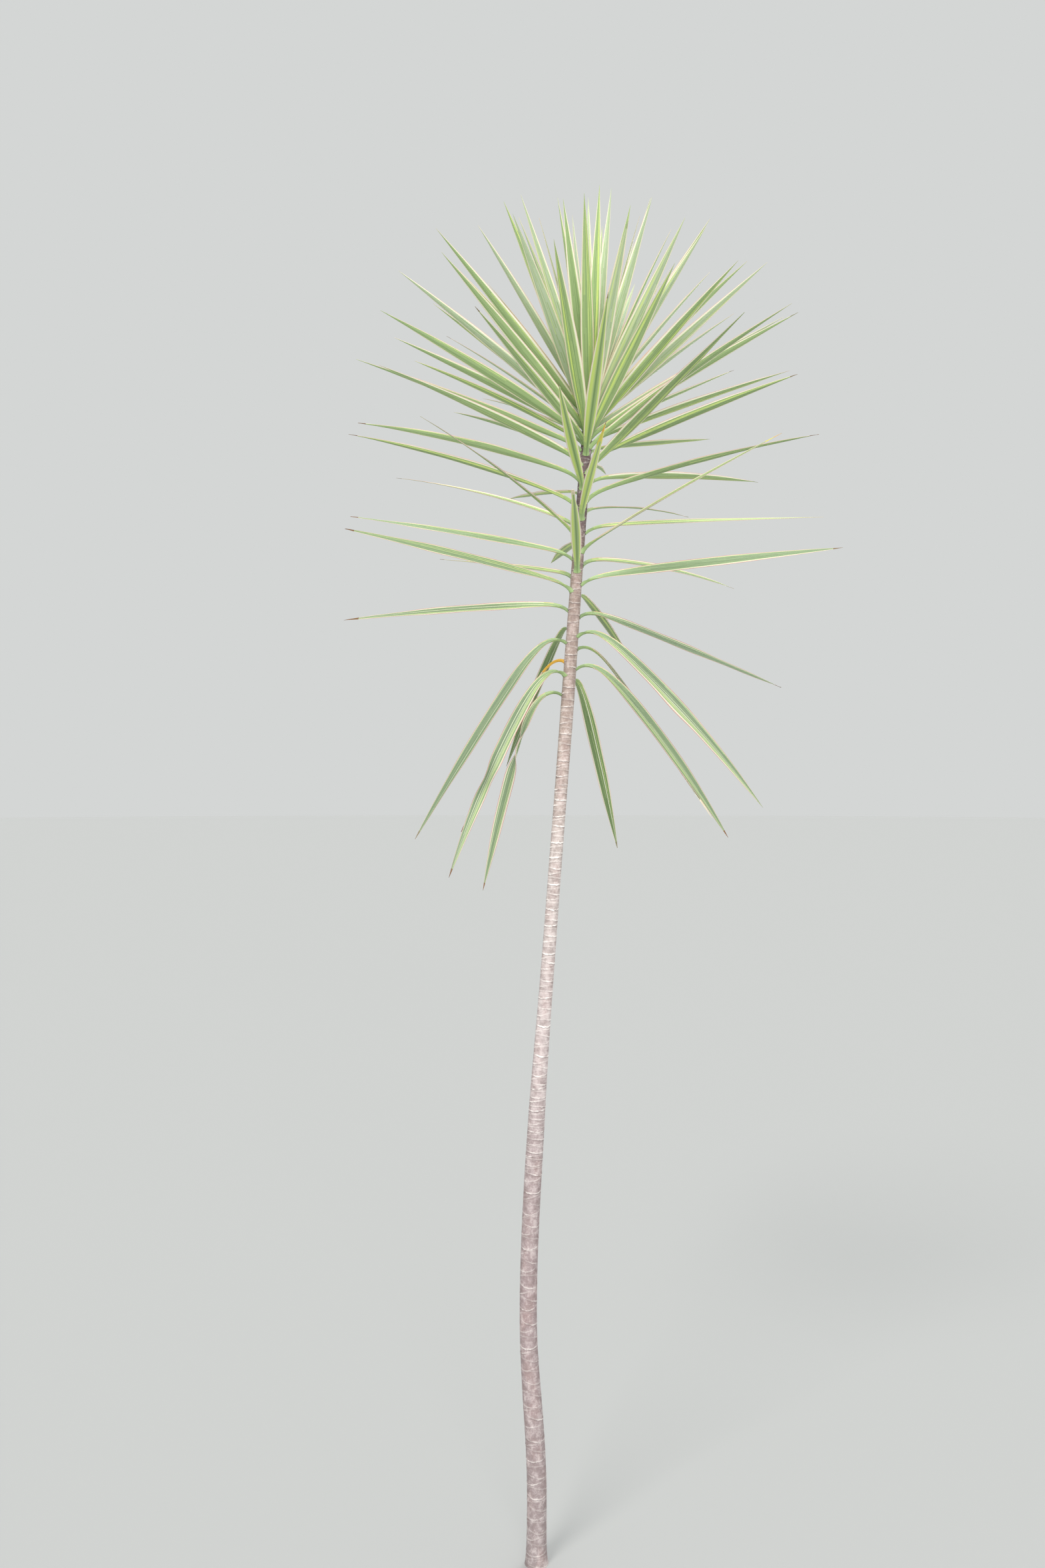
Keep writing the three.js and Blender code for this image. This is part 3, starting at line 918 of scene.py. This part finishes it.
def tissue_at(leaf, tissues, column, u):
    """The tissue of a blade's face, by its column and its place from base (0) to tip (1)."""
    by_age = ("brown", DEAD_SHARE * leaf.age * chance(leaf.index, "dead tip"))
    spent, spent_share = SPENT_TIPS.get(leaf.index, by_age)
    off_middle = abs(column + 0.5 - HALF_COLUMNS) / HALF_COLUMNS
    if u > 1 - spent_share - EDGE_LEAD * spent_share**0.5 * off_middle:
        if spent == "orange" and u < 1 - YELLOW_SHARE * spent_share:
            return "yellow"
        return spent if u < 1 - BROWN_SHARE * spent_share else "brown"
    if u < SPENT_BASES.get(leaf.index, 0):
        return "orange"
    tissue = tissues[column]
    rank = int(u / BASE_STEP)
    if BASE_RANKS.get(tissue, 0) > rank:
        tissue = BASE_TISSUES[rank]
    streak = STREAK_INSET + int(chance(leaf.index, "streak") * (BLADE_COLUMNS - 2 * STREAK_INSET))
    start = lerp(*STREAK_STARTS, chance(leaf.index, "streak start"))
    if column == streak and start < u < start + STREAK_LENGTH and tissue in ("green", "shade"):
        tissue = "light"
    greener = sum(u + RAGGED_BASE * math.sin(DRIFT_STEP * column) < level for level in FRESH_BASES)
    drift = math.sin(math.tau * (DRIFT_PACE * u + chance(leaf.index, "ripple place")) + DRIFT_STEP * column)
    drifted = 0 if leaf.index in BRIGHT_SIDES else int(DRIFT_SIZE * drift)
    own_tone = leaf_tone(leaf)
    tone = clamp(own_tone + greener + drifted, 0, max(own_tone, YOUNG_TONE))
    return f"{tissue}_{tone}"


front = plans[FRONT_LEAF]
print("a tip:", tissue_at(front, column_tissues(front), HALF_COLUMNS, 0.97))

# %% [markdown]
# ## The path of one leaf
# A leaf leaves the cane as a sheath that hugs it, turns outwards within a few millimetres, and
# then runs nearly straight to its tip. The straight part is walked in small steps whose heading
# changes with the distance, which is how the solids were made too. Four of the hanging blades
# turn aside for a short stretch and back again, which the roll adds as a smooth bump. The sheath
# is a short curve that starts upright on the bark and ends in the blade's first heading.

# %% Walk along the blade
SHEATH_ROWS = 5
BLADE_ROWS = 36
SHEATH_GAP = 0.5
BLADE_START = 6.5
SHEATH_DROP = 1.2
ROW_CROWDING = 1.3
SPINE_STEP = 5
TURNED_ASIDE = {1: (0.33, 66), 4: (0.58, -52), 10: (0.5, 24), 6: (0.4, 34)}
TURN_SPAN = 0.08


def heading_at(leaf, distance):
    """The directions along and across the blade at a distance from its start."""
    u = distance / leaf.length
    straightness = 1 - math.exp(-distance / leaf.bend_length)
    rise = math.radians(lerp(leaf.start_rise, leaf.rise, straightness) - leaf.sag * (2 * u - 1))
    azimuth = math.radians(leaf.azimuth + leaf.sway * u)
    along = Vector((math.cos(rise) * math.cos(azimuth), math.cos(rise) * math.sin(azimuth), math.sin(rise)))
    across = Vector((-math.sin(azimuth), math.cos(azimuth), 0))
    turned_at, turned_by = TURNED_ASIDE.get(leaf.index, (1, 0))
    roll = leaf.twist * u + leaf.face_turn * straightness
    roll += turned_by * math.exp(-(((u - turned_at) / TURN_SPAN) ** 2))
    across.rotate(Quaternion(along, math.radians(roll)))
    return along, across


def blade_start(leaf):
    """The level directions outwards and across, and the point where the blade starts."""
    azimuth = math.radians(leaf.azimuth)
    out = Vector((math.cos(azimuth), math.sin(azimuth), 0))
    across = Vector((-math.sin(azimuth), math.cos(azimuth), 0))
    return out, across, axis_point(leaf.height) + out * (radius_at(leaf.height) + BLADE_START)


def blade_path(leaf):
    """The point and the directions of each row of the blade."""
    point = blade_start(leaf)[2]
    path = []
    distance = 0
    for row in range(BLADE_ROWS + 1):
        u = (row / BLADE_ROWS) ** ROW_CROWDING
        steps = max(1, math.ceil((u * leaf.length - distance) / SPINE_STEP))
        step = (u * leaf.length - distance) / steps
        for _ in range(steps):
            point = point + heading_at(leaf, distance + step / 2)[0] * step
            distance += step
        along, across = heading_at(leaf, distance)
        path.append((u, point.copy(), along, across))
    return path


def sheath_path(leaf):
    """The point and the directions of each row of the sheath, from the bark to the blade."""
    out, across, end = blade_start(leaf)
    up = Vector((0, 0, 1))
    along = heading_at(leaf, 0)[0]
    climb = (BLADE_START - SHEATH_GAP) * math.tan(math.asin(along.z))
    bend = end - out * (BLADE_START - SHEATH_GAP) - up * climb
    start = bend - up * SHEATH_DROP
    path = []
    for row in range(SHEATH_ROWS):
        t = row / SHEATH_ROWS
        point = start.lerp(bend, t).lerp(bend.lerp(end, t), t)
        heading = (start.lerp(bend, t) - bend.lerp(end, t)).normalized() * -1
        path.append((t, point, heading, across))
    return path


print("front tip:", [round(value) for value in blade_path(front)[-1][1]])

# %% [markdown]
# ## The section of a leaf
# Across its width a blade is a soft V near the base that opens out towards the tip. The sheath
# has another shape: an arc that lies close round one side of the cane. One function bends a flat
# row into both, as an arc of a given angle with a V on top of it.

# %% Bend one row
NECK_WIDTH = 11
NECK_END = 0.03
WIDEST_AT = 0.38
TAPER_POWERS = (1.6, 2.3)
FULL_TIP_AGES = (0.75, 0.9)
TIP_WIDTH = 0.5
BLUNT_TIPS = {20: 6.5}
TIP_ROUNDING = 0.5
CHANNEL_DEPTH = 4.8
CHANNEL_AT_TIP = 0.6
CHANNEL_SOFTNESS = 0.3
SHEATH_WRAP = math.radians(38)
NECK_WRAP = math.radians(24)
BLADE_WRAP = math.radians(8)
NECK_OPENS_BY = 0.15
BASE_SMILE = 3

Row = namedtuple("Row", "u point along across half wrap channel smile")


def width_at(leaf, u):
    if u < WIDEST_AT:
        before = clamp((WIDEST_AT - u) / (WIDEST_AT - NECK_END))
        return lerp(leaf.width, NECK_WIDTH, before**2)
    beyond = (u - WIDEST_AT) / (1 - WIDEST_AT)
    power = lerp(*TAPER_POWERS, smoothstep(leaf.age, *FULL_TIP_AGES))
    least = BLUNT_TIPS.get(leaf.index, TIP_WIDTH)
    return max(leaf.width * (1 - beyond**power), least * (1 if u < 1 else TIP_ROUNDING))


def bent(share, half, wrap, channel):
    """How far a point at share (-1 to 1) of a row lies to the side, and how far it is lifted."""
    radius = half / wrap
    soft = math.sqrt(share * share + CHANNEL_SOFTNESS**2) - CHANNEL_SOFTNESS
    lift = radius * (1 - math.cos(wrap * share)) + channel * soft
    return radius * math.sin(wrap * share), lift


def leaf_rows(leaf):
    """The path and the section of every row, from the sheath to the tip."""
    rows = []
    hug = radius_at(leaf.height) + SHEATH_GAP
    for t, point, along, across in sheath_path(leaf):
        eased = smoothstep(t, 0, 1)
        half = lerp(hug * SHEATH_WRAP, NECK_WIDTH / 2, eased)
        wrap = lerp(SHEATH_WRAP, NECK_WRAP, eased)
        smile = BASE_SMILE * (1 - t) ** 2
        rows.append(Row(0, point, along, across, half, wrap, CHANNEL_DEPTH * eased, smile))
    for u, point, along, across in blade_path(leaf):
        width = width_at(leaf, u)
        wrap = lerp(NECK_WRAP, BLADE_WRAP, smoothstep(u, 0, NECK_OPENS_BY))
        channel = lerp(CHANNEL_DEPTH, CHANNEL_AT_TIP, math.sqrt(u))
        if u >= WIDEST_AT:
            channel = channel * width / leaf.width
        rows.append(Row(u, point, along, across, width / 2, wrap, channel, smile=0))
    return rows


print("rows of a leaf:", len(leaf_rows(front)))

# %% [markdown]
# ## One leaf as a mesh
# Each leaf starts as a flat grid. Its faces are given their tissue while the grid is still flat,
# when a face's column and row are easy to read, and then every point moves to its place. A second
# map measures the blade in its own directions, for the veins. The weight of each point says how
# thick the blade will be there: thickest along the middle, thin at the edges and at the tip. The
# move leaves the faces looking down, so they are reversed at the end.

# %% Grow a leaf
BLADE_THICKNESS = 1.1
EDGE_SHARE = 0.4
TIP_SHARE = 0.35
EDGE_RIPPLE = 0.8
MAP_SCALE = 0.01
MAP_SHIFT = 700
RIPPLES = 3
RIPPLE_LAG = 0.25
RIPPLE_GROWTH = 5


def flat_grid(target, columns, rows):
    """A flat grid in a joined mesh: its points and faces, the map and the weights of the mesh."""
    blade_map = target.loops.layers.uv.verify()
    thickness = target.verts.layers.deform.verify()
    points = bmesh.ops.create_grid(target, x_segments=columns, y_segments=rows, size=1)["verts"]
    return points, {face for point in points for face in point.link_faces}, blade_map, thickness


def grow_leaf(target, leaf, tissue_slots):
    """Adds one leaf to a joined mesh. tissue_slots grows as new tissues are met."""
    rows = leaf_rows(leaf)
    tissues = column_tissues(leaf)
    last_row = len(rows) - 1
    grid, faces, blade_map, thickness = flat_grid(target, BLADE_COLUMNS, last_row)
    for face in faces:
        middle = face.calc_center_median()
        column = int((middle.x + 1) / 2 * BLADE_COLUMNS)
        row = int((middle.y + 1) / 2 * last_row)
        tissue = tissue_at(leaf, tissues, column, (rows[row].u + rows[row + 1].u) / 2)
        face.material_index = tissue_slots.setdefault(tissue, len(tissue_slots))
        face.smooth = True
        for loop in face.loops:
            edge = round((loop.vert.co.x + 1) / 2 * BLADE_COLUMNS)
            nearest = rows[round((loop.vert.co.y + 1) / 2 * last_row)]
            across_mm = COLUMN_EDGES[edge] * nearest.half
            along_mm = nearest.u * leaf.length + leaf.index * MAP_SHIFT
            loop[blade_map].uv = (across_mm * MAP_SCALE, along_mm * MAP_SCALE)
    for point in grid:
        share = COLUMN_EDGES[round((point.co.x + 1) / 2 * BLADE_COLUMNS)]
        u, place, along, across, half, wrap, channel, smile = rows[round((point.co.y + 1) / 2 * last_row)]
        sideways, lift = bent(share, half, wrap, channel)
        phase = RIPPLES * u + chance(leaf.index, "ripple place") + RIPPLE_LAG * share
        ripple = EDGE_RIPPLE * leaf.age * scatter(leaf.index, "ripple") * math.sin(math.tau * phase)
        lift += ripple * share * share * min(1, RIPPLE_GROWTH * u)
        place = place + along * smile * share * share
        point.co = (place + across * sideways + along.cross(across) * lift) * MM
        point[thickness][0] = lerp(1, EDGE_SHARE, share * share) * lerp(1, TIP_SHARE, u**3)
    bmesh.ops.reverse_faces(target, faces=list(faces))
    return len(grid)


trial = bmesh.new()
print("points in one leaf:", grow_leaf(trial, front, {}))
trial.free()

# %% [markdown]
# ## Joined leaves
# Leaves of one kind are joined into one piece. A Solidify modifier then gives every blade its
# thickness downwards and puts its new faces on the underside's materials, because they lie in the
# same order further down the list. The modifier is applied, so what is stored is what is seen.

# %% Join, thicken and finish
LEAF_CREASE = math.radians(55)


def leaf_piece(name, members, extra=None):
    """One piece from many leaves, with its thickness and its materials."""
    target = bmesh.new()
    tissue_slots = {}
    for leaf in members:
        grow_leaf(target, leaf, tissue_slots)
    if extra:
        extra(target, tissue_slots)
    piece = make_piece(name, target)
    piece.data.uv_layers[0].name = "blade"
    for underside in (False, True):
        for tissue in tissue_slots:
            piece.data.materials.append(leaf_material(tissue, underside))
    group = piece.vertex_groups.new(name="body")
    solidify = piece.modifiers.new("thickness", "SOLIDIFY")
    solidify.thickness = BLADE_THICKNESS * MM
    solidify.offset = -1
    solidify.vertex_group = group.name
    solidify.material_offset = len(tissue_slots)
    view = bpy.context.evaluated_depsgraph_get()
    solid = bpy.data.meshes.new_from_object(piece.evaluated_get(view))
    flat = piece.data
    piece.modifiers.clear()
    piece.data = solid
    solid.name = name
    bpy.data.meshes.remove(flat)
    piece.vertex_groups.clear()
    solid.set_sharp_from_angle(angle=LEAF_CREASE)
    print(name, len(members), "leaves", len(solid.polygons), "faces", len(solid.materials), "colours")
    return piece


print("leaves ready to be joined:", len(leaves))

# %% [markdown]
# ## The spear
# At the very tip the next leaves are still rolled round each other into a spear. It is one sheet
# rolled a turn and a third about the cane's line, closing to a point, with the pink edge of the
# outer leaf showing as a line down the roll.

# %% Roll the spear
SPEAR_LENGTH = 250
SPEAR_BASE = 6.2
SPEAR_SHAPE = [(0, 1.0), (0.25, 0.78), (0.6, 0.5), (0.85, 0.24), (1, 0.05)]
SPEAR_TURNS = 1.35
SPEAR_SINK = 4
INNER_REACH = 0.72
SPEAR_COLUMNS = 28
SPEAR_ROWS = 40
# The spear takes the topmost tone, whose bloom is partly a painted sheen.
SPEAR_TONE = BLOOM_AND_SHEEN_TONE
SPEAR_TISSUES = {0: "edge", 1: "cream", 2: "cream", 3: "pale"}
LIGHT_EVERY = 5
SPEAR_HALF_SHEET = 20


def roll_spear(target, tissue_slots):
    """Adds the rolled leaves at the tip of the cane."""
    sheet, faces, blade_map, thickness = flat_grid(target, SPEAR_COLUMNS, SPEAR_ROWS)
    for face in faces:
        column = SPEAR_COLUMNS - 1 - int((face.calc_center_median().x + 1) / 2 * SPEAR_COLUMNS)
        tissue = SPEAR_TISSUES.get(column, "light" if column % LIGHT_EVERY == 0 else "green")
        face.material_index = tissue_slots.setdefault(f"{tissue}_{SPEAR_TONE}", len(tissue_slots))
        face.smooth = True
        for loop in face.loops:
            across_mm = loop.vert.co.x * SPEAR_HALF_SHEET
            along_mm = loop.vert.co.y * SPEAR_LENGTH / 2
            loop[blade_map].uv = (across_mm * MAP_SCALE, along_mm * MAP_SCALE)
    for point in sheet:
        across = (point.co.x + 1) / 2
        climb = (point.co.y + 1) / 2
        turn = across * SPEAR_TURNS * math.tau
        reach = SPEAR_BASE * follow(SPEAR_SHAPE, climb) * lerp(INNER_REACH, 1, across)
        place = axis_point(CANE_TOP) + Vector((0, 0, climb * SPEAR_LENGTH - SPEAR_SINK))
        point.co = (place + Vector((math.cos(turn), math.sin(turn), 0)) * reach) * MM
        point[thickness][0] = TIP_SHARE


print("spear tip at", CANE_TOP + SPEAR_LENGTH - SPEAR_SINK, "mm")

# %% [markdown]
# ## The five kinds of leaf
# The solids come as hanging, spreading and rising leaves, whorls of four and the heart of the
# crown. Each kind becomes one joined piece that stands for all the solids of its kind. The table
# gives the piece's name, how the names of its solids begin, its finish slot, its first leaf and
# the one after its last.

# %% Grow all the leaves
FIRST_SPREADING = 14
FIRST_RISING = 31
FIRST_WHORL = 45
FIRST_HEART = 89
KINDS = [
    ("hanging_leaves", "hanging_leaf", "hanging_green", 0, FIRST_SPREADING),
    ("spreading_leaves", "spreading_leaf", "spreading_green", FIRST_SPREADING, FIRST_RISING),
    ("rising_leaves", "rising_leaf", "rising_green", FIRST_RISING, FIRST_WHORL),
    ("whorl_leaves", "leaf_whorl", "whorl_green", FIRST_WHORL, FIRST_HEART),
    ("young_leaves", "heart_leaves", "heart_green", FIRST_HEART, LEAF_COUNT),
]

for piece_name, node_name, slot_name, first, end in KINDS:
    members = [leaf for leaf in leaves if first <= leaf.index < end]
    piece = leaf_piece(piece_name, members, roll_spear if first == FIRST_HEART else None)
    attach(piece, "root")
    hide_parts(*[name for name in sorted(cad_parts) if name.startswith(node_name)])

# %% [markdown]
# ## Floor and light
# The plant stands on a plain pale floor, which has no gloss, because low lamps would glare in it.
# Four broad lamps share the soft studio light. The key lamp, from the upper left in front, models
# the leaves, and one high up behind gives them their waxy sheen. A low one in front brightens the
# cane, and a low one behind does the same for whoever walks round the plant. A pale surround
# fills the shadows.

# %% Floor
FLOOR_RADIUS = 60
FLOOR_SEGMENTS = 96
FLOOR_COLOUR = (186, 187, 186)

floor_mesh = bmesh.new()
bmesh.ops.create_circle(floor_mesh, cap_ends=True, segments=FLOOR_SEGMENTS, radius=FLOOR_RADIUS)
floor = make_piece("floor", floor_mesh, smooth=False)
floor_finish, tree, shader = new_material("plain_floor")
shader.inputs["Base Color"].default_value = linear(FLOOR_COLOUR)
shader.inputs["Roughness"].default_value = 1.0
shader.inputs["Specular IOR Level"].default_value = 0.0
floor.data.materials.append(floor_finish)

# %% Lamps and surround
SURROUND_COLOUR = (212, 214, 213)
SURROUND_STRENGTH = 1.0
LAMPS = [
    ("key", (-1.8, -3.0, 3.4), 20, 1.3, (1.0, 0.98, 0.95)),
    ("sky", (1.2, 2.6, 5.0), 40, 0.8, (0.95, 0.98, 1.0)),
    ("fill", (0.5, -4.0, 0.4), 25, 2.3, (1.0, 0.99, 0.98)),
    ("rear", (1.6, 3.6, 0.7), 30, 1.2, (1.0, 0.99, 0.98)),
]

world = bpy.data.worlds.new("surround")
world.use_nodes = True
world.node_tree.nodes["Background"].inputs["Color"].default_value = linear(SURROUND_COLOUR)
world.node_tree.nodes["Background"].inputs["Strength"].default_value = SURROUND_STRENGTH
scene.world = world
for name, place, spread, power, colour in LAMPS:
    lamp = bpy.data.objects.new(name, bpy.data.lights.new(name, "SUN"))
    lamp.data.angle = math.radians(spread)
    lamp.data.energy = power
    lamp.data.color = colour
    lamp.rotation_euler = Vector(place).to_track_quat("Z", "Y").to_euler()
    scene.collection.objects.link(lamp)
scene.view_settings.view_transform = "Standard"
print("lamps:", len(LAMPS))
